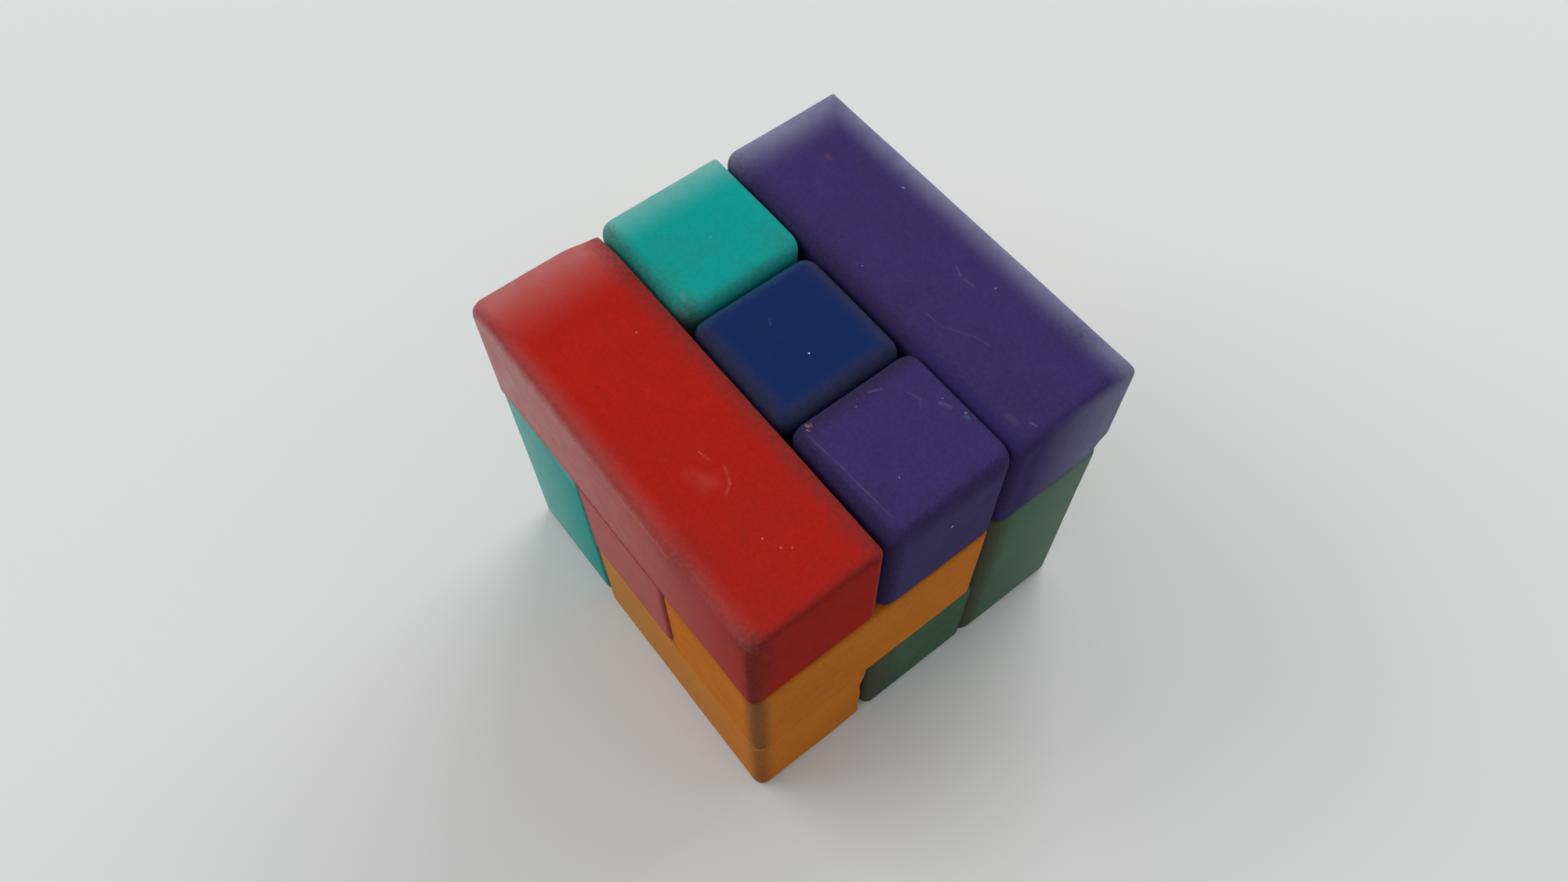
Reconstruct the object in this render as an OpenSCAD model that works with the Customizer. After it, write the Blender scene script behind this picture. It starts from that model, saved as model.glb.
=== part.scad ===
// Block cube puzzle: seven loose wooden pieces that stack into a cube of three by three by three cells.
// Each piece is glued up from two or three blocks. A cell is named [x, y, z], and each number runs from 0 to 2.
// +X runs along the red bar, +Z is up, and the origin is the middle of the face that the cube stands on.

/* [Cells] */
// Side of one cell, which is also the side of a single cube
cell_side = 25; // [20:0.5:30]

/* [Fit] */
// Play between neighbouring pieces, and how far the outer pieces stand off the centre
piece_play = 0.4; // [0.3:0.05:0.6]

/* [Edges] */
// Radius of an outer edge, sanded round by hand
edge_radius = 2; // [1:0.1:3]
// Radius of an edge next to a glued face, which is hardly sanded
seam_radius = 0.6; // [0.3:0.1:1]

/* [Hidden] */
$fn = 48;
cells_along = 3;
half_cube = cells_along * cell_side / 2;

// Faces of a block, in the order that face_radii() lists them
left = 0;
right = 1;
front = 2;
back = 3;
under = 4;
top = 5;

// How far each loose piece sits off the perfect grid, so that the pieces slide past each other
red_play = [0, -piece_play, 0];
purple_play = [piece_play, piece_play, 0];
teal_play = [-piece_play, 0, 0];
navy_play = [0, 0, 0];
orange_play = [piece_play, -piece_play, 0];
green_play = [piece_play, 0, 0];
yellow_play = [-piece_play, piece_play, 0];

// The radius that each of the six faces gives its edges: small on the glued face, large elsewhere
function face_radii(glued) = [for (face = [left : top]) face == glued ? seam_radius : edge_radius];

// The four corner radii of the outline between two pairs of opposite faces
function corner_radii(r, u0, u1, v0, v1) =
  [min(r[u0], r[v0]), min(r[u1], r[v0]), min(r[u1], r[v1]), min(r[u0], r[v1])];

// A rectangle whose four corners are true arcs, anticlockwise from the one at the origin
module rounded_outline(w, h, r) {
  polygon([
    [r[0], 0],
    [w - r[1], 0],
    [w, r[1]],
    [w, h - r[2]],
    [w - r[2], h],
    [r[3], h],
    [0, h - r[3]],
    [0, r[0]]
  ]);
  translate([r[0], r[0]]) circle(r[0]);
  translate([w - r[1], r[1]]) circle(r[1]);
  translate([w - r[2], h - r[2]]) circle(r[2]);
  translate([r[3], h - r[3]]) circle(r[3]);
}

// A block with all twelve edges rounded: what three crossing bars of rounded outline share
module rounded_block(size, r) {
  intersection() {
    linear_extrude(size.z)
      rounded_outline(size.x, size.y, corner_radii(r, left, right, front, back));
    translate([0, size.y, 0])
      rotate([90, 0, 0])
        linear_extrude(size.y)
          rounded_outline(size.x, size.z, corner_radii(r, left, right, under, top));
    rotate([90, 0, 90])
      linear_extrude(size.x)
        rounded_outline(size.y, size.z, corner_radii(r, front, back, under, top));
  }
}

// A block that fills some cells: the lowest one, how many along each way, and the face that is glued
module block(cell, span, play, glued) {
  translate(cell * cell_side - [half_cube, half_cube, 0] + play)
    rounded_block(span * cell_side, face_radii(glued));
}

// Red piece, a T that lies along the front top edge
module red_bar() {
  color("#b32a20") block([0, 0, 2], [3, 1, 1], red_play, undef);
}

module red_stub() {
  color("#a3251c") block([1, 0, 1], [1, 1, 1], red_play, top);
}

// Purple piece, an L on top at the back
module purple_bar() {
  color("#3f3368") block([0, 2, 2], [3, 1, 1], purple_play, undef);
}

module purple_cube() {
  color("#4a3d73") block([2, 1, 2], [1, 1, 1], purple_play, back);
}

// Teal piece, a Z of two upright blocks
module teal_lower_block() {
  color("#179a93") block([0, 0, 0], [1, 1, 2], teal_play, undef);
}

module teal_upper_block() {
  color("#1ea59c") block([0, 1, 1], [1, 1, 2], teal_play, undef);
}

// Navy piece, three cells around a corner
module navy_post() {
  color("#24365f") block([1, 1, 1], [1, 1, 2], navy_play, undef);
}

module navy_stub() {
  color("#2b3f6b") block([1, 2, 1], [1, 1, 1], navy_play, front);
}

// Orange piece, a screw shape of two crossed blocks
module orange_base_block() {
  color("#b3641f") block([1, 0, 0], [2, 1, 1], orange_play, undef);
}

module orange_upper_block() {
  color("#bf6d25") block([2, 0, 1], [1, 2, 1], orange_play, under);
}

// Green piece, the mirror image of the orange one
module green_upright() {
  color("#4f6a57") block([2, 2, 0], [1, 1, 2], green_play, undef);
}

module green_base_block() {
  color("#587361") block([1, 1, 0], [2, 1, 1], green_play, undef);
}

// Yellow piece, a post with two cubes at its foot, in the hidden corner
module yellow_post() {
  color("#d9b23a") block([0, 2, 0], [1, 1, 2], yellow_play, undef);
}

module yellow_side_cube() {
  color("#cfa733") block([0, 1, 0], [1, 1, 1], yellow_play, back);
}

module yellow_back_cube() {
  color("#cfa733") block([1, 2, 0], [1, 1, 1], yellow_play, left);
}

red_bar();
red_stub();
purple_bar();
purple_cube();
teal_lower_block();
teal_upper_block();
navy_post();
navy_stub();
orange_base_block();
orange_upper_block();
green_upright();
green_base_block();
yellow_post();
yellow_side_cube();
yellow_back_cube();
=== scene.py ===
import bpy
import math
import numpy as np
from mathutils import Matrix, Vector


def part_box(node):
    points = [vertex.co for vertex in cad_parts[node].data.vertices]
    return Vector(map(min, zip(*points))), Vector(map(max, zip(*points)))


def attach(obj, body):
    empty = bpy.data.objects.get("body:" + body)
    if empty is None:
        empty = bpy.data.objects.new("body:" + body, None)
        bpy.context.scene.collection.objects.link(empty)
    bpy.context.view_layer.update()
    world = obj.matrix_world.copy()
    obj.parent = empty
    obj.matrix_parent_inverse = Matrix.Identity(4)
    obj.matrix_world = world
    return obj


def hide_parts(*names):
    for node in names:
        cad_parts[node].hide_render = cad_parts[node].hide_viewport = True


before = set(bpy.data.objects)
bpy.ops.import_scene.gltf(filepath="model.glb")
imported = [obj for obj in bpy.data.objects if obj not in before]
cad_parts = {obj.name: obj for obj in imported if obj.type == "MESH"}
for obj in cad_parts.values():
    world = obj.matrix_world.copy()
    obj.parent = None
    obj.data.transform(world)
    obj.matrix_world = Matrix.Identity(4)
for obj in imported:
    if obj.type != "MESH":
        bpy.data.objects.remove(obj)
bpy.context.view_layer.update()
mm = 0.001

# camera first: a hand-held close-up from above the front corner
camera = {
    "place": (0.0850, -0.0686, 0.2353),
    "lookAt": (-0.0026, -0.0004, 0.0375),
    "lens": 28.1,
    "crooked": -0.24,  # degrees
}
cameraData = bpy.data.cameras.new("closeUpCamera")
cameraData.lens = camera["lens"]
cameraData.sensor_width = 36
cameraData.clip_start = 0.005
cameraObject = bpy.data.objects.new("closeUpCamera", cameraData)
bpy.context.scene.collection.objects.link(cameraObject)
lookDirection = Vector(camera["lookAt"]) - Vector(camera["place"])
turned = lookDirection.to_track_quat("-Z", "Y").to_matrix().to_4x4()
cameraObject.matrix_world = (
    Matrix.Translation(camera["place"]) @ turned @ Matrix.Rotation(math.radians(camera["crooked"]), 4, "Z")
)
bpy.context.scene.camera = cameraObject
bpy.context.scene.view_settings.view_transform = "Standard"
print("camera placed")


# axis and direction of each side of a block
sides = {"left": (0, -1), "right": (0, 1), "front": (1, -1), "back": (1, 1), "under": (2, -1), "top": (2, 1)}

workshop = {
    "skin": 0.42 * mm,  # size of the mesh that is sanded
    "sandingPasses": 5,  # more gives softer edges
    "handWork": 0.14 * mm,  # how uneven the faces are
    "handWorkScale": 16 * mm,
}

handTexture = bpy.data.textures.new("handWork", "CLOUDS")
handTexture.noise_scale = workshop["handWorkScale"]
handTexture.noise_depth = 1


def deselectAll():
    if bpy.context.object and bpy.context.object.mode != "OBJECT":
        bpy.ops.object.mode_set(mode="OBJECT")
    bpy.ops.object.select_all(action="DESELECT")


def points(piece):
    place = np.empty(len(piece.data.vertices) * 3, np.float32)
    piece.data.vertices.foreach_get("co", place)
    return place.reshape(-1, 3)


def selectPoints(piece, chosen):
    bpy.ops.object.mode_set(mode="EDIT")
    bpy.ops.mesh.select_mode(type="VERT")
    bpy.ops.mesh.select_all(action="DESELECT")
    bpy.ops.object.mode_set(mode="OBJECT")
    piece.data.vertices.foreach_set("select", chosen)
    bpy.ops.object.mode_set(mode="EDIT")


def applyModifier(piece, kind, **settings):
    modifier = piece.modifiers.new(kind.lower(), kind)
    for name, value in settings.items():
        setattr(modifier, name, value)
    bpy.ops.object.modifier_apply(modifier=modifier.name)


def sawBlock(block):
    # a plain block, a little proud on the sides that are sanded flat at the end
    low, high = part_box(block["node"])
    for side, depth in block["sandFlat"].items():
        axis, way = sides[side]
        if way < 0:
            low[axis] -= depth * mm
        else:
            high[axis] += depth * mm
    deselectAll()
    bpy.ops.mesh.primitive_cube_add(size=1, location=(low + high) / 2, scale=high - low)
    piece = bpy.context.object
    piece.name = block["name"]
    bpy.ops.object.transform_apply(location=True, rotation=True, scale=True)
    return piece


def edgeSides(edge, piece, centre):
    # the names of the two sides that meet at an edge of the sawn block
    start, end = (piece.data.vertices[n].co for n in edge.vertices)
    middle = (start + end) / 2 - centre
    return frozenset(side for side, (axis, way) in sides.items() if middle[axis] * way > 1 * mm)


def roundEdges(piece, block):
    centre = sum(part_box(block["node"]), Vector()) / 2
    radii = {frozenset(pair.split()): radius for pair, radius in block["edges"].items()}
    widest = max([block["edge"], *radii.values()])
    weights = piece.data.attributes.new("bevel_weight_edge", "FLOAT", "EDGE")
    for edge in piece.data.edges:
        radius = radii.get(edgeSides(edge, piece, centre), block["edge"])
        weights.data[edge.index].value = radius / widest
    applyModifier(piece, "BEVEL", width=widest * mm, segments=6, limit_method="WEIGHT")


def sandBlock(piece, block):
    piece.data.remesh_voxel_size = workshop["skin"]
    bpy.ops.object.voxel_remesh()
    applyModifier(piece, "SMOOTH", factor=0.5, iterations=workshop["sandingPasses"])
    low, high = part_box(block["node"])
    for side in block["sandFlat"]:
        axis, way = sides[side]
        plane = (low if way < 0 else high)[axis]
        place = points(piece)
        selectPoints(piece, (place[:, axis] - plane) * way > 0)
        squash = [0 if n == axis else 1 for n in range(3)]
        corner = [plane if n == axis else 0 for n in range(3)]
        bpy.ops.transform.resize(value=squash, center_override=corner)
        bpy.ops.object.mode_set(mode="OBJECT")
    applyModifier(
        piece,
        "DISPLACE",
        texture=handTexture,
        texture_coords="LOCAL",
        mid_level=1,
        strength=workshop["handWork"],
    )


def knockEdges(piece, block):
    # dents and chips: the skin is pushed in around one point
    for place, push, reach in block["knocks"]:
        target = np.array(place) * mm
        nearest = int(np.argmin(((points(piece) - target) ** 2).sum(1)))
        chosen = np.zeros(len(piece.data.vertices), bool)
        chosen[nearest] = True
        selectPoints(piece, chosen)
        bpy.ops.transform.translate(
            value=Vector(push) * mm,
            use_proportional_edit=True,
            proportional_edit_falloff="SMOOTH",
            proportional_size=reach * mm,
        )
        bpy.ops.object.mode_set(mode="OBJECT")


def markEdges(piece, block):
    # how far each point is from the nearest edge, how much grime and painted shade lie near it, and how much
    # painted sheen (a pale reflection of the bright room) it gets
    low, high = (np.array(corner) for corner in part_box(block["node"]))
    place = points(piece)
    gap = {side: np.abs(place[:, axis] - (low, high)[way > 0][axis]) for side, (axis, way) in sides.items()}
    pairs = [(a, b) for a in sides for b in sides if a < b and sides[a][0] != sides[b][0]]
    nearest = np.full(len(place), 1.0)
    grimeAndShade = np.zeros(len(place))
    paintedSheen = np.zeros(len(place))
    grimesAndShades = {frozenset(pair.split()): value for pair, value in block["grimeAndShade"].items()}
    paintedSheens = {frozenset(pair.split()): value for pair, value in block["paintedSheen"].items()}
    for a, b in pairs:
        distance = np.hypot(gap[a], gap[b])
        nearest = np.minimum(nearest, distance)
        strength, reach = grimesAndShades.get(frozenset((a, b)), block["grimeAndShadeElsewhere"])
        grimeAndShade = np.maximum(grimeAndShade, strength * np.clip(1 - distance / (reach * mm), 0, 1))
        strength, reach = paintedSheens.get(frozenset((a, b)), (0, 1))
        paintedSheen = np.maximum(paintedSheen, strength * np.clip(1 - distance / (reach * mm), 0, 1) ** 2)
    for side, (atStart, atEnd) in block["paintedSheenSides"].items():
        run = 1 if side in ("left", "right") else 0
        share = np.clip((place[:, run] - low[run]) / (high[run] - low[run]), 0, 1)
        strength = atStart + (atEnd - atStart) * share
        paintedSheen = np.maximum(paintedSheen, strength * np.clip(1 - gap[side] / mm, 0, 1))
    # darker patches: painted shade and grime
    for middle, reach, strength in block["shadeAndGrimePatches"]:
        distance = np.sqrt(((place - np.array(middle) * mm) ** 2).sum(1))
        grimeAndShade = np.maximum(grimeAndShade, strength * np.clip(1 - distance / (reach * mm), 0, 1))
    for name, values in {"edgeDistance": nearest / mm, "grimeAndShade": grimeAndShade, "paintedSheen": paintedSheen}.items():
        layer = piece.data.attributes.new(name, "FLOAT", "POINT")
        layer.data.foreach_set("value", values.astype(np.float32))


def makeBlock(block):
    block = {**plainBlock, **block}
    piece = sawBlock(block)
    roundEdges(piece, block)
    sandBlock(piece, block)
    knockEdges(piece, block)
    markEdges(piece, block)
    bpy.ops.object.shade_smooth()
    piece.data.materials.clear()
    piece.data.materials.append(paintedWood(block))
    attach(piece, block["body"])
    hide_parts(block["node"])
    return piece


def newNode(tree, kind, **settings):
    node = tree.nodes.new(kind)
    for name, value in settings.items():
        setattr(node, name, value)
    return node


def feed(tree, socket, source):
    if isinstance(source, bpy.types.NodeSocket):
        tree.links.new(source, socket)
    else:
        socket.default_value = source


def maths(tree, operation, first, second=0.0, clamp=False):
    node = newNode(tree, "ShaderNodeMath", operation=operation, use_clamp=clamp)
    feed(tree, node.inputs[0], first)
    feed(tree, node.inputs[1], second)
    return node.outputs[0]


def spread(tree, value, low, high, outLow=0.0, outHigh=1.0):
    node = newNode(tree, "ShaderNodeMapRange", interpolation_type="SMOOTHSTEP")
    given = {"Value": value, "From Min": low, "From Max": high, "To Min": outLow, "To Max": outHigh}
    for name, source in given.items():
        feed(tree, node.inputs[name], source)
    return node.outputs["Result"]


def noise(tree, place, scale, detail=3.0, distortion=0.0):
    node = newNode(tree, "ShaderNodeTexNoise")
    feed(tree, node.inputs["Vector"], place)
    feed(tree, node.inputs["Scale"], scale)
    feed(tree, node.inputs["Detail"], detail)
    feed(tree, node.inputs["Distortion"], distortion)
    return node.outputs["Fac"]


def blendColour(tree, amount, first, second):
    node = newNode(tree, "ShaderNodeMix", data_type="RGBA")
    feed(tree, node.inputs["Factor"], amount)
    feed(tree, node.inputs["A"], first)
    feed(tree, node.inputs["B"], second)
    return node.outputs["Result"]


def colour(code):
    # a web colour code as linear light
    parts = [int(code[n:n + 2], 16) / 255 for n in (0, 2, 4)]
    linear = [c / 12.92 if c <= 0.04045 else ((c + 0.055) / 1.055) ** 2.4 for c in parts]
    return (*linear, 1.0)


def markGroup():
    # a group that draws one mark (scratch, speck, painted highlight line, painted shade line): 1 on the line
    # from start to end, 0 away from it
    tree = bpy.data.node_groups.new("lineMark", "ShaderNodeTree")
    for name in ("Place", "Start", "End"):
        tree.interface.new_socket(name, in_out="INPUT", socket_type="NodeSocketVector")
    tree.interface.new_socket("Width", in_out="INPUT", socket_type="NodeSocketFloat")
    tree.interface.new_socket("Mark", in_out="OUTPUT", socket_type="NodeSocketFloat")
    given = newNode(tree, "NodeGroupInput").outputs
    taken = newNode(tree, "NodeGroupOutput").inputs

    def vectors(operation, first, second=None, scale=None):
        node = newNode(tree, "ShaderNodeVectorMath", operation=operation)
        feed(tree, node.inputs[0], first)
        if second is not None:
            feed(tree, node.inputs[1], second)
        if scale is not None:
            feed(tree, node.inputs["Scale"], scale)
        return node

    line = vectors("SUBTRACT", given["End"], given["Start"]).outputs["Vector"]
    offset = vectors("SUBTRACT", given["Place"], given["Start"]).outputs["Vector"]
    along = vectors("DOT_PRODUCT", offset, line).outputs["Value"]
    length = vectors("DOT_PRODUCT", line, line).outputs["Value"]
    share = maths(tree, "DIVIDE", along, length, clamp=True)
    foot = vectors("SCALE", line, scale=share).outputs["Vector"]
    distance = vectors("DISTANCE", offset, foot).outputs["Value"]
    feed(tree, taken["Mark"], spread(tree, distance, 0.0, given["Width"], 1.0, 0.0))
    return tree


lineMark = markGroup()

# how fine the patterns in the paint are: a bigger number is finer
fineness = {
    "clouds": 55.0,
    "patches": 260.0,
    "dust": 1700.0,
    "specks": 300,
    "wobble": 180,
    "grainAlong": 60,
    "grainAcross": 900,
}


def paintedWood(block):
    look = block["paint"]
    material = bpy.data.materials.new(block["name"] + "Paint")
    material.use_nodes = True
    tree = material.node_tree
    shader = tree.nodes["Principled BSDF"]
    place = newNode(tree, "ShaderNodeTexCoord").outputs["Object"]

    def layer(name):
        node = newNode(tree, "ShaderNodeAttribute", attribute_type="GEOMETRY", attribute_name=name)
        return node.outputs["Fac"]

    # wood grain runs along the block
    low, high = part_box(block["node"])
    longest = max(range(3), key=lambda n: (high - low)[n])
    grainPlace = newNode(tree, "ShaderNodeMapping")
    grainPlace.inputs["Scale"].default_value = [
        fineness["grainAlong"] if n == longest else fineness["grainAcross"] for n in range(3)
    ]
    feed(tree, grainPlace.inputs["Vector"], place)
    grain = noise(tree, grainPlace.outputs["Vector"], 1.0, 4.0, 0.4)

    clouds = noise(tree, place, fineness["clouds"], 3.0)
    patches = noise(tree, place, fineness["patches"], 4.0)
    dust = noise(tree, place, fineness["dust"], 2.0)

    # pattern, where it starts, where it is full, how much, and its colour
    coats = (
        (clouds, 0.35, 0.75, "mottle", "deep"),
        (grain, 0.5, 0.8, "grain", "deep"),
        (patches, 0.4, 0.75, "smudges", "grimeAndShade"),
        (dust, 0.4, 0.7, "pores", "grimeAndShade"),
        (dust, 0.55, 0.35, "chalk", "paleDustAndSheen"),
    )
    paint = look["colour"]
    for pattern, starts, full, share, tint in coats:
        amount = spread(tree, pattern, starts, full, 0.0, look[share])
        paint = blendColour(tree, amount, paint, look[tint])

    # pale specks of dust, one in a few of the cells
    cells = newNode(tree, "ShaderNodeTexVoronoi")
    feed(tree, cells.inputs["Vector"], place)
    cells.inputs["Scale"].default_value = fineness["specks"]
    chance = newNode(tree, "ShaderNodeSeparateColor")
    feed(tree, chance.inputs[0], cells.outputs["Color"])
    speck = spread(tree, cells.outputs["Distance"], 0.02, 0.065, 1.0, 0.0)
    speck = maths(tree, "MULTIPLY", speck, look["specks"])
    speck = maths(tree, "MULTIPLY", speck, maths(tree, "GREATER_THAN", chance.outputs[0], 0.8))
    paint = blendColour(tree, speck, paint, look["paleDustAndSheen"])

    # painted sheen: a pale reflection of the bright room painted towards some edges and along some sides
    paintedSheen = maths(tree, "MULTIPLY", layer("paintedSheen"), spread(tree, patches, 0.3, 0.7, 0.8, 1.06), clamp=True)
    paint = blendColour(tree, paintedSheen, paint, look["paleDustAndSheen"])

    # grime that hands rub into the rounded edges, with painted shade in the gaps between blocks and in
    # darker patches
    dirtAndShade = maths(tree, "MULTIPLY", layer("grimeAndShade"), spread(tree, dust, 0.3, 0.7, 0.8, 1.2))
    dirtAndShade = spread(tree, dirtAndShade, 0.0, 0.9)
    paint = blendColour(tree, maths(tree, "MULTIPLY", dirtAndShade, look["grimeAndShadeAmount"]), paint, look["grimeAndShade"])

    # bare wood where an edge has lost its paint
    edge = spread(tree, layer("edgeDistance"), 0.4, 1.3, 1.0, 0.0)
    bare = spread(tree, maths(tree, "MULTIPLY", edge, patches), look["bareFrom"], look["bareFrom"] + 0.06)
    paint = blendColour(tree, maths(tree, "MULTIPLY", bare, 0.7), paint, look["wood"])

    # scratches and specks, and a few lines of painted highlight and painted shade; a line wobbles a little,
    # and the nudge undoes the wobble's mean shift
    wobble = newNode(tree, "ShaderNodeTexNoise")
    feed(tree, wobble.inputs["Vector"], place)
    wobble.inputs["Scale"].default_value = fineness["wobble"]
    shift = newNode(tree, "ShaderNodeVectorMath", operation="MULTIPLY_ADD")
    feed(tree, shift.inputs[0], wobble.outputs["Color"])
    shift.inputs[1].default_value = [0.5 * mm] * 3
    feed(tree, shift.inputs[2], place)
    marked = 0.0
    for start, end, width, strength, markColour in block["marks"]:
        mark = newNode(tree, "ShaderNodeGroup", node_tree=lineMark)
        feed(tree, mark.inputs["Place"], shift.outputs["Vector"] if start != end else place)
        nudge = 0.25 if start != end else 0.0
        mark.inputs["Start"].default_value = [(n + nudge) * mm for n in start]
        mark.inputs["End"].default_value = [(n + nudge) * mm for n in end]
        mark.inputs["Width"].default_value = width * mm
        amount = maths(tree, "MULTIPLY", mark.outputs["Mark"], strength)
        if start != end:
            amount = maths(tree, "MULTIPLY", amount, spread(tree, dust, 0.4, 0.6, 0.4, 1.2))
        paint = blendColour(tree, amount, paint, colour(markColour))
        marked = maths(tree, "MAXIMUM", marked, amount)
    feed(tree, shader.inputs["Base Color"], paint)

    gloss = spread(tree, patches, 0.3, 0.7, look["roughness"] - 0.05, look["roughness"] + 0.07)
    gloss = maths(tree, "ADD", gloss, maths(tree, "MULTIPLY", dirtAndShade, 0.15))
    feed(tree, shader.inputs["Roughness"], gloss)
    shader.inputs["IOR"].default_value = look["shine"]

    height = maths(tree, "ADD", maths(tree, "MULTIPLY", grain, 0.25), maths(tree, "MULTIPLY", dust, 0.35))
    height = maths(tree, "SUBTRACT", height, maths(tree, "MULTIPLY", marked, 0.5))
    bump = newNode(tree, "ShaderNodeBump")
    bump.inputs["Strength"].default_value = look["bump"]
    bump.inputs["Distance"].default_value = look["relief"]
    feed(tree, bump.inputs["Height"], height)
    feed(tree, shader.inputs["Normal"], bump.outputs["Normal"])
    return material


plainPaint = {
    "wood": colour("8a6a48"),
    "mottle": 0.25,
    "grain": 0.12,
    "smudges": 0.1,
    "pores": 0.09,
    "chalk": 0.01,
    "specks": 0.5,
    "grimeAndShadeAmount": 0.85,
    "bareFrom": 0.75,
    "roughness": 0.75,
    "shine": 1.12,  # refractive index, low because the paint is dull and dusty
    "bump": 0.2,
    "relief": 0.12 * mm,
}

# in each paint below, the pale colour serves both the dust specks and the painted sheen, and the grime
# colour serves both grime and painted shade
redPaint = {
    **plainPaint,
    "colour": colour("a2180a"),
    "deep": colour("8c170d"),
    "paleDustAndSheen": colour("b88e8c"),
    "grimeAndShade": colour("562a2a"),
}

purplePaint = {
    **plainPaint,
    "colour": colour("362a5c"),
    "deep": colour("30264e"),
    "paleDustAndSheen": colour("9a98b2"),
    "grimeAndShade": colour("2a2438"),
}

tealPaint = {
    **plainPaint,
    "colour": colour("008f88"),
    "deep": colour("00827a"),
    "paleDustAndSheen": colour("9cc2bc"),
    "grimeAndShade": colour("3c463e"),
}

navyPaint = {
    **plainPaint,
    "colour": colour("0b2454"),
    "deep": colour("10244c"),
    "paleDustAndSheen": colour("50607c"),
    "grimeAndShade": colour("342f40"),
}

orangePaint = {
    **plainPaint,
    "pores": 0.16,
    "colour": colour("c46c0c"),
    "deep": colour("b05c0a"),
    "paleDustAndSheen": colour("a88a56"),
    "grimeAndShade": colour("6e4a30"),
}

greenPaint = {
    **plainPaint,
    "colour": colour("40604c"),
    "deep": colour("384e38"),
    "paleDustAndSheen": colour("94a6a0"),
    "grimeAndShade": colour("48453a"),
}

yellowPaint = {
    **plainPaint,
    "colour": colour("cc9c22"),
    "deep": colour("b08418"),
    "paleDustAndSheen": colour("cdb98a"),
    "grimeAndShade": colour("6a5426"),
}

# what a block is when its own dictionary doesn't say otherwise; lengths in millimetres
plainBlock = {
    "edge": 1.6,
    "edges": {},
    "sandFlat": {},
    "knocks": [],
    # grime on the rounded edges, with painted shade where an edge meets the gap to a neighbouring block
    "grimeAndShadeElsewhere": (0.35, 3.0),  # strength, reach
    "grimeAndShade": {},
    # painted sheen along edges and whole sides: a pale reflection of the bright room
    "paintedSheen": {},
    "paintedSheenSides": {},  # strength at its left or front end, strength at the other end
    # darker patches: painted shade, such as the top darkening towards the near corner, and grime
    "shadeAndGrimePatches": [],  # middle, reach, strength
    "marks": [],  # start, end, width, strength, colour
}

redBar = {
    "name": "redBar", "node": "red_bar", "body": "red_piece",
    "slot": "red_paint", "paint": redPaint,
    "edge": 0.8,
    "edges": {
        "front top": 2.8, "front right": 2.4, "front left": 2.4, "left top": 1.4, "right top": 1.2,
        "right back": 1.2,
    },
    "sandFlat": {"front": 0.4},
    "knocks": [((-37.3, -13.2, 74.8), (0.6, -0.2, -0.4), 7)],
    "grimeAndShade": {
        "front right": (0.7, 3.0), "front top": (0.4, 3.6), "back top": (0.7, 5.0),
        "right top": (0.6, 3.0),
    },
    "shadeAndGrimePatches": [
        # the first patch is painted shade: the top darkened towards the near corner
        ((38, -38, 75), 45, 0.3), ((20, -13, 75), 10, 0.35), ((-8, -13, 75), 9, 0.35),
        ((20, -37, 74), 14, 0.4),
        ((36, -37, 74), 9, 0.5), ((0, -37, 74), 8, 0.3),
    ],
    "paintedSheen": {
        "left top": (0.55, 14), "front left": (0.6, 9), "front top": (0.3, 4.5),
        "right back": (0.5, 1.6),
    },
    "paintedSheenSides": {"front": (1.0, 0.04), "left": (0.4, 0.4)},
    "marks": [
        ((7.5, -24.5, 75), (9.5, -24.1, 75), 0.25, 0.3, "d89088"),
        ((12, -23, 75), (14.6, -23.9, 75), 0.45, 0.22, "c86a60"),
        ((14.6, -23.9, 75), (15.8, -25.6, 75), 0.4, 0.18, "c86a60"),
        ((9.8, -27.8, 75), (13.2, -25.6, 75), 1.8, 0.08, "c86a60"),
        ((37.7, -36.2, 73), (37.7, -36.2, 51), 4.5, 0.5, "4a2a26"),
        ((12.5, -27, 75), (12.5, -27, 75), 2.5, 0.06, "c86a60"),
        ((24.7, -25.7, 75), (24.7, -25.7, 75), 0.25, 0.6, "d8a8a0"),
        ((27.5, -24.5, 75), (27.5, -24.5, 75), 0.25, 0.5, "d8a8a0"),
        ((28.5, -23.2, 75), (28.5, -23.2, 75), 0.2, 0.5, "d8a8a0"),
        ((-16, -19.5, 75), (-16, -19.5, 75), 0.25, 0.5, "d8a8a0"),
        ((-11.5, -30.5, 75), (-11, -30, 75), 0.5, 0.35, "5a2020"),
        ((14.5, -37.4, 73.7), (14.5, -37.4, 73.7), 0.6, 0.6, "4a2424"),
        ((37.9, -28, 60.5), (37.9, -28, 60.5), 0.25, 0.6, "d09088"),
        # painted highlight: a thin light line along the arris under the front top rounding
        ((-36, -37.9, 73), (18, -37.9, 73.2), 0.3, 0.36, "d8b0a8"),
        ((-12, -37.7, 50.2), (12.5, -37.7, 50.2), 0.9, 0.9, "8c1c22"),
    ],
}

redStub = {
    "name": "redStub", "node": "red_stub", "body": "red_piece",
    "slot": "red_paint", "paint": redPaint,
    "edge": 1.0,
    "edges": {"front top": 0.4, "front right": 1.3, "front left": 0.6, "front under": 0.6},
    "grimeAndShade": {"front right": (0.6, 2.0), "front top": (0.0, 1.0)},
    "paintedSheenSides": {"front": (0.5, 0.35)},
    "marks": [((-12, -37.7, 49.8), (12.5, -37.7, 49.8), 0.9, 0.9, "8c1c22")],
}

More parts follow.
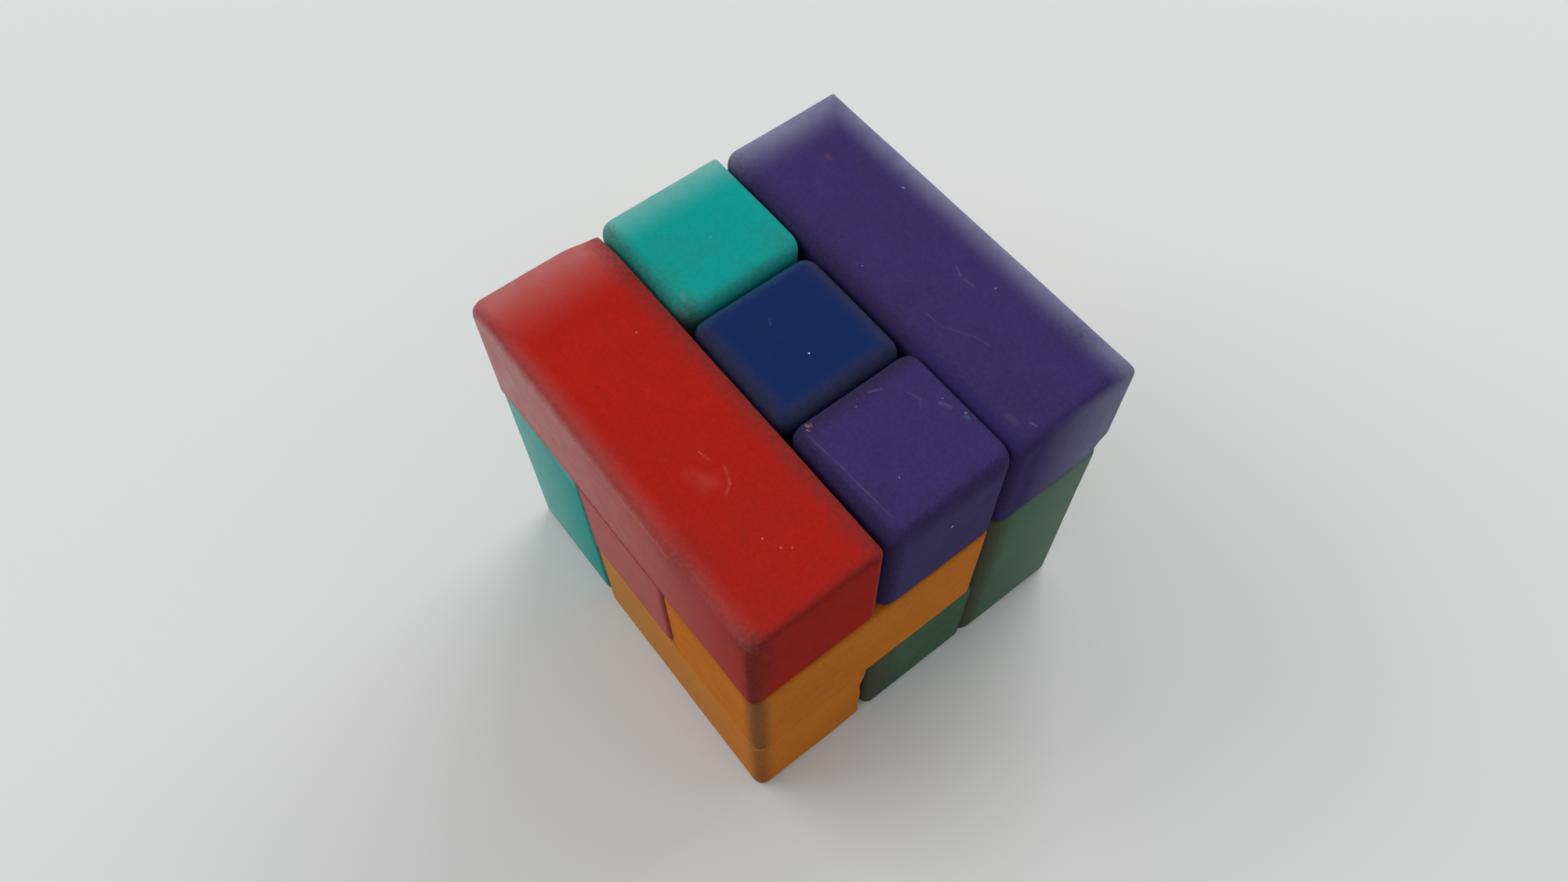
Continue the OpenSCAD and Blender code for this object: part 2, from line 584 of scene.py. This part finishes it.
purpleBar = {
    "name": "purpleBar", "node": "purple_bar", "body": "purple_piece",
    "slot": "purple_paint", "paint": purplePaint,
    "edge": 1.6,
    "edges": {
        "left back": 0.3, "top back": 0.5, "left top": 0.8, "front left": 2.4, "front top": 2.8,
        "right back": 0.4,
        "right top": 2.2, "front right": 2.0, "right under": 0.6,
    },
    "knocks": [((37.9, 37.9, 50.5), (-0.5, -0.7, 0.3), 5)],
    "grimeAndShade": {
        "front top": (0.5, 7.0), "right top": (0.2, 5.0), "front right": (0.5, 3.0),
        "top back": (0.25, 3.0),
    },
    "shadeAndGrimePatches": [
        ((27.5, 35.5, 75), 8, 0.4), ((37, 36, 75), 7, 0.2), ((6, 15, 75), 14, 0.35),
        ((30, 18, 75), 16, 0.35),
    ],
    "paintedSheen": {"left top": (0.72, 9), "top back": (0.65, 6), "right back": (0.95, 6)},
    "paintedSheenSides": {"right": (-0.15, 0.6)},
    "marks": [
        ((-26, 27.5, 75), (-25.4, 27.5, 75), 0.9, 0.6, "5a3c40"),
        ((-21, 31, 75), (-20, 30.5, 75), 2.2, 0.3, "2c2640"),
        ((-12.5, 33, 75), (-12.2, 33.2, 75), 0.25, 0.6, "c0c0d0"),
        ((5.5, 29, 75), (7.5, 28.3, 75), 0.25, 0.18, "8480a0"),
        ((8.2, 28.2, 75), (10.5, 28.5, 75), 0.25, 0.15, "8480a0"),
        ((9.5, 19, 75), (13.5, 19.3, 75), 0.25, 0.15, "8480a0"),
        ((14, 19.8, 75), (17, 21.5, 75), 0.25, 0.18, "8480a0"),
        ((17.5, 22, 75), (20.5, 22.6, 75), 0.25, 0.12, "8480a0"),
        ((34.5, 18, 75), (35.6, 18.3, 75), 0.3, 0.28, "8a8478"),
        ((31.5, 16.2, 75), (33, 16.4, 75), 0.9, 0.3, "5e5648"),
        # painted shade in the groove where the bar meets the purple cube
        ((13, 13.6, 74.4), (37, 13.6, 74.4), 1.8, 0.5, "302a6c"),
    ],
}

purpleCube = {
    "name": "purpleCube", "node": "purple_cube", "body": "purple_piece",
    "slot": "purple_paint", "paint": purplePaint,
    "edge": 1.8,
    "edges": {
        "front left": 2.2, "left back": 2.8, "back right": 3.2, "front top": 3.2, "back top": 2.0,
        "right top": 3.4,
        "front right": 2.4,
    },
    "sandFlat": {"top": 0.35},
    "grimeAndShade": {
        # front top: painted shade in the gap along the red bar
        "front top": (0.9, 3.4), "left top": (0.95, 4.5), "right top": (0.55, 4.5),
        "front right": (0.9, 4.0),
    },
    "shadeAndGrimePatches": [((15, -9, 75), 6, 0.4), ((30, -9, 75), 6, 0.35)],
    "paintedSheenSides": {"right": (0.04, 0.04)},
    "marks": [
        ((13.9, -9, 75), (14.3, -8.8, 75), 0.4, 0.6, "a08460"),
        ((14.7, -9.4, 75), (15, -9.2, 75), 0.3, 0.6, "9a7a5c"),
        ((14.2, -8.3, 75), (14.6, -8.4, 75), 0.25, 0.5, "9a7a5c"),
        ((27.8, 11, 75), (28.2, 11.2, 75), 0.5, 0.45, "3c8088"),
        ((27.2, 11.4, 75), (27.4, 11.6, 75), 0.3, 0.4, "5c90a0"),
        ((15.5, -9.8, 75), (33.5, -8.7, 75), 0.25, 0.22, "7c6c68"),
        ((15.2, 2.3, 75), (16, 4.2, 75), 0.35, 0.2, "8080a0"),
        ((19, 7, 75), (21, 7.6, 75), 0.25, 0.15, "7c7c9c"),
        ((21, 7.6, 75), (22.4, 6.6, 75), 0.25, 0.15, "7c7c9c"),
        ((23.5, 9.5, 75), (25, 10.3, 75), 0.6, 0.18, "7c7c9c"),
        ((37.85, 0.5, 66.5), (37.85, 0.5, 66.5), 0.34, 1.0, "f0e8e8"),
    ],
}

tealLower = {
    "name": "tealLowerBlock", "node": "teal_lower_block", "body": "teal_piece",
    "slot": "teal_paint", "paint": tealPaint,
    "edges": {"front left": 1.4, "front under": 1.2, "front right": 1.4},
    "grimeAndShade": {"front right": (0.8, 2.4)},
    "paintedSheen": {"front left": (0.8, 5), "front top": (0.5, 14)},
    "paintedSheenSides": {"front": (0.65, 0.06), "left": (0.2, 0.4)},
    "marks": [((-30.5, -37.5, 43.5), (-30.2, -37.5, 43.3), 0.6, 0.4, "b07068")],
}

tealUpper = {
    "name": "tealUpperBlock", "node": "teal_upper_block", "body": "teal_piece",
    "slot": "teal_paint", "paint": tealPaint,
    "edge": 1.6,
    "edges": {
        "left back": 0.5, "left top": 1.0, "back top": 1.2, "front left": 1.8, "front right": 3.2,
        "right back": 3.2,
        "front top": 3.0, "right top": 2.6,
    },
    "grimeAndShade": {
        # front top: painted shade in the gap along the red bar
        "front top": (0.75, 3.4), "right top": (0.55, 3.2), "front right": (0.9, 8.0),
        "back top": (0.3, 2.0),
    },
    "shadeAndGrimePatches": [((-15, 10, 75), 8, 0.3), ((-22, -12.5, 75), 8, 0.4)],
    "paintedSheen": {"left top": (0.6, 8)},
    "marks": [
        ((-32.5, 11.5, 75), (-32.2, 11.4, 75), 0.7, 0.4, "8c6a5c"),
        ((-24, 1, 75), (-24, 1, 75), 0.3, 0.4, "5ca09c"),
        ((-17.5, -9.6, 74.6), (-16.5, -9.8, 74.6), 0.8, 0.3, "8c7c60"),
    ],
}

navyPost = {
    "name": "navyPost", "node": "navy_post", "body": "navy_piece",
    "slot": "navy_paint", "paint": navyPaint,
    "edge": 3.0,
    # edges darkened all round: painted shade in the gaps to the neighbouring blocks, with grime
    "grimeAndShadeElsewhere": (0.95, 4.4),
    "grimeAndShade": {"left top": (0.6, 3.5)},
    "marks": [
        # painted shade with a painted reflection of the teal block, along the left top edge by the gap
        ((-11.8, -10, 74.4), (-11.8, 10, 74.4), 2.4, 0.5, "14505c"),
        ((4, -0.5, 75), (4, -0.5, 75), 0.25, 1.0, "d8e0e8"),
        ((-5, -1.5, 75), (-4, -2, 75), 0.25, 0.2, "7080a0"),
    ],
}

navyStub = {
    "name": "navyStub", "node": "navy_stub", "body": "navy_piece",
    "slot": "navy_paint", "paint": navyPaint,
    "edge": 1.8,
}

orangeBase = {
    "name": "orangeBaseBlock", "node": "orange_base_block", "body": "orange_piece",
    "slot": "orange_paint", "paint": orangePaint,
    "edge": 1.0,
    "edges": {
        "front top": 0.3, "right top": 0.3, "front right": 2.2, "front under": 1.2, "right under": 1.6,
        "right back": 1.0,
    },
    "knocks": [((37.9, -12.9, 6), (-0.2, -0.7, 0), 9), ((37.9, -12.9, 16), (-0.2, -0.8, 0), 7.5)],
    "grimeAndShade": {
        "front right": (0.8, 4.6), "front top": (0.0, 1.0), "right top": (0.0, 1.0),
        "right back": (0.3, 1.5),
    },
    "paintedSheenSides": {"front": (0.6, 0.2), "right": (0.1, 0.1)},
    "marks": [
        ((37.9, -14.5, 23.8), (37.9, -14, 24.6), 0.5, 0.5, "5a3014"),
        ((36.6, -37.9, 24.4), (37.9, -36.6, 24.4), 0.7, 1.0, "d8801c"),
    ],
}

orangeUpper = {
    "name": "orangeUpperBlock", "node": "orange_upper_block", "body": "orange_piece",
    "slot": "orange_paint", "paint": orangePaint,
    "edge": 0.8,
    "edges": {
        "front right": 1.5, "front under": 0.3, "right under": 0.3, "front left": 0.7,
        "right back": 2.0,
    },
    "grimeAndShade": {
        "front right": (1.15, 4.2), "front top": (0.45, 3.5), "right top": (0.3, 3.0),
        "front under": (0.0, 1.0),
        "right under": (0.0, 1.0),
    },
    "shadeAndGrimePatches": [((38, -25, 38), 26, 0.25)],
    "paintedSheenSides": {"front": (0.05, 0.05), "right": (0.05, 0.1)},
    "marks": [
        ((37.9, -14.5, 25.8), (37.9, -14, 26), 0.5, 0.45, "5a3014"),
        ((37.9, -14, 40.5), (37.9, -13.7, 40.3), 0.5, 0.35, "6a4420"),
        ((36.6, -37.9, 25.5), (37.9, -36.6, 25.5), 0.5, 0.8, "d8801c"),
    ],
}

greenUpright = {
    "name": "greenUpright", "node": "green_upright", "body": "green_piece",
    "slot": "green_paint", "paint": greenPaint,
    "edge": 1.0,
    "edges": {"front right": 2.6, "right back": 2.2},
    "grimeAndShade": {"front right": (1.15, 6.0), "right under": (0.3, 2.0), "right top": (0.3, 3.0)},
    "shadeAndGrimePatches": [((38, 18, 16), 20, 0.25)],
    "paintedSheen": {"right back": (0.25, 8)},
    "paintedSheenSides": {"right": (0.0, 0.35)},
}

greenBase = {
    "name": "greenBaseBlock", "node": "green_base_block", "body": "green_piece",
    "slot": "green_paint", "paint": greenPaint,
    "edge": 1.0,
    "edges": {"front right": 2.0, "right under": 2.0, "front under": 2.4},
    "grimeAndShade": {"front right": (1.0, 12.0), "right back": (0.6, 2.5)},
    "shadeAndGrimePatches": [((38, 0, 20), 20, 0.35)],
}

yellowPost = {
    "name": "yellowPost", "node": "yellow_post", "body": "yellow_piece",
    "slot": "yellow_paint", "paint": yellowPaint,
}

yellowSide = {
    "name": "yellowSideCube", "node": "yellow_side_cube", "body": "yellow_piece",
    "slot": "yellow_paint", "paint": yellowPaint,
}

yellowBack = {
    "name": "yellowBackCube", "node": "yellow_back_cube", "body": "yellow_piece",
    "slot": "yellow_paint", "paint": yellowPaint,
}

for block in (
    redBar, redStub, purpleBar, purpleCube, tealLower, tealUpper, navyPost, navyStub,
    orangeBase, orangeUpper, greenUpright, greenBase, yellowPost, yellowSide, yellowBack,
):
    made = makeBlock(block)
    print(made.name, "made,", len(made.data.polygons), "faces")


studio = {
    "paper": (0.62, 0.62, 0.61, 1.0),
    "paperSize": 3.0,
    "paperRoughness": 0.9,
    "sky": (0.95, 0.985, 1.0, 1.0),
    "skyStrength": 0.33,
    "skyOverhead": 0.74,
    "lampsAimAt": (0, 0, 0.03),
    # place, width, height, watts
    "lamps": {
        "backWindow": ((-0.9, 2.2, 1.5), 2.4, 1.2, 46.0),
        "leftWindow": ((-1.9, -1.5, 1.8), 2.4, 1.4, 34.0),
    },
}

deselectAll()
bpy.ops.mesh.primitive_plane_add(size=studio["paperSize"], location=(0, 0, 0))
paper = bpy.context.object
paper.name = "paperFloor"
paperMaterial = bpy.data.materials.new("whitePaper")
paperMaterial.use_nodes = True
paperShader = paperMaterial.node_tree.nodes["Principled BSDF"]
paperShader.inputs["Base Color"].default_value = studio["paper"]
paperShader.inputs["Roughness"].default_value = studio["paperRoughness"]
paper.data.materials.append(paperMaterial)

sky = bpy.data.worlds.new("softRoom")
sky.use_nodes = True
skyTree = sky.node_tree
skyHeight = newNode(skyTree, "ShaderNodeSeparateXYZ")
feed(skyTree, skyHeight.inputs[0], newNode(skyTree, "ShaderNodeTexCoord").outputs["Generated"])
skyShine = spread(skyTree, skyHeight.outputs["Z"], 0.0, 0.8, studio["skyStrength"], studio["skyOverhead"])
feed(skyTree, skyTree.nodes["Background"].inputs["Strength"], skyShine)
skyTree.nodes["Background"].inputs["Color"].default_value = studio["sky"]
bpy.context.scene.world = sky

for name, (place, width, height, watts) in studio["lamps"].items():
    lampData = bpy.data.lights.new(name, "AREA")
    lampData.shape = "RECTANGLE"
    lampData.size = width
    lampData.size_y = height
    lampData.energy = watts
    lamp = bpy.data.objects.new(name, lampData)
    bpy.context.scene.collection.objects.link(lamp)
    aim = Vector(studio["lampsAimAt"]) - Vector(place)
    lamp.matrix_world = Matrix.Translation(place) @ aim.to_track_quat("-Z", "Y").to_matrix().to_4x4()
print("paper and lamps set")
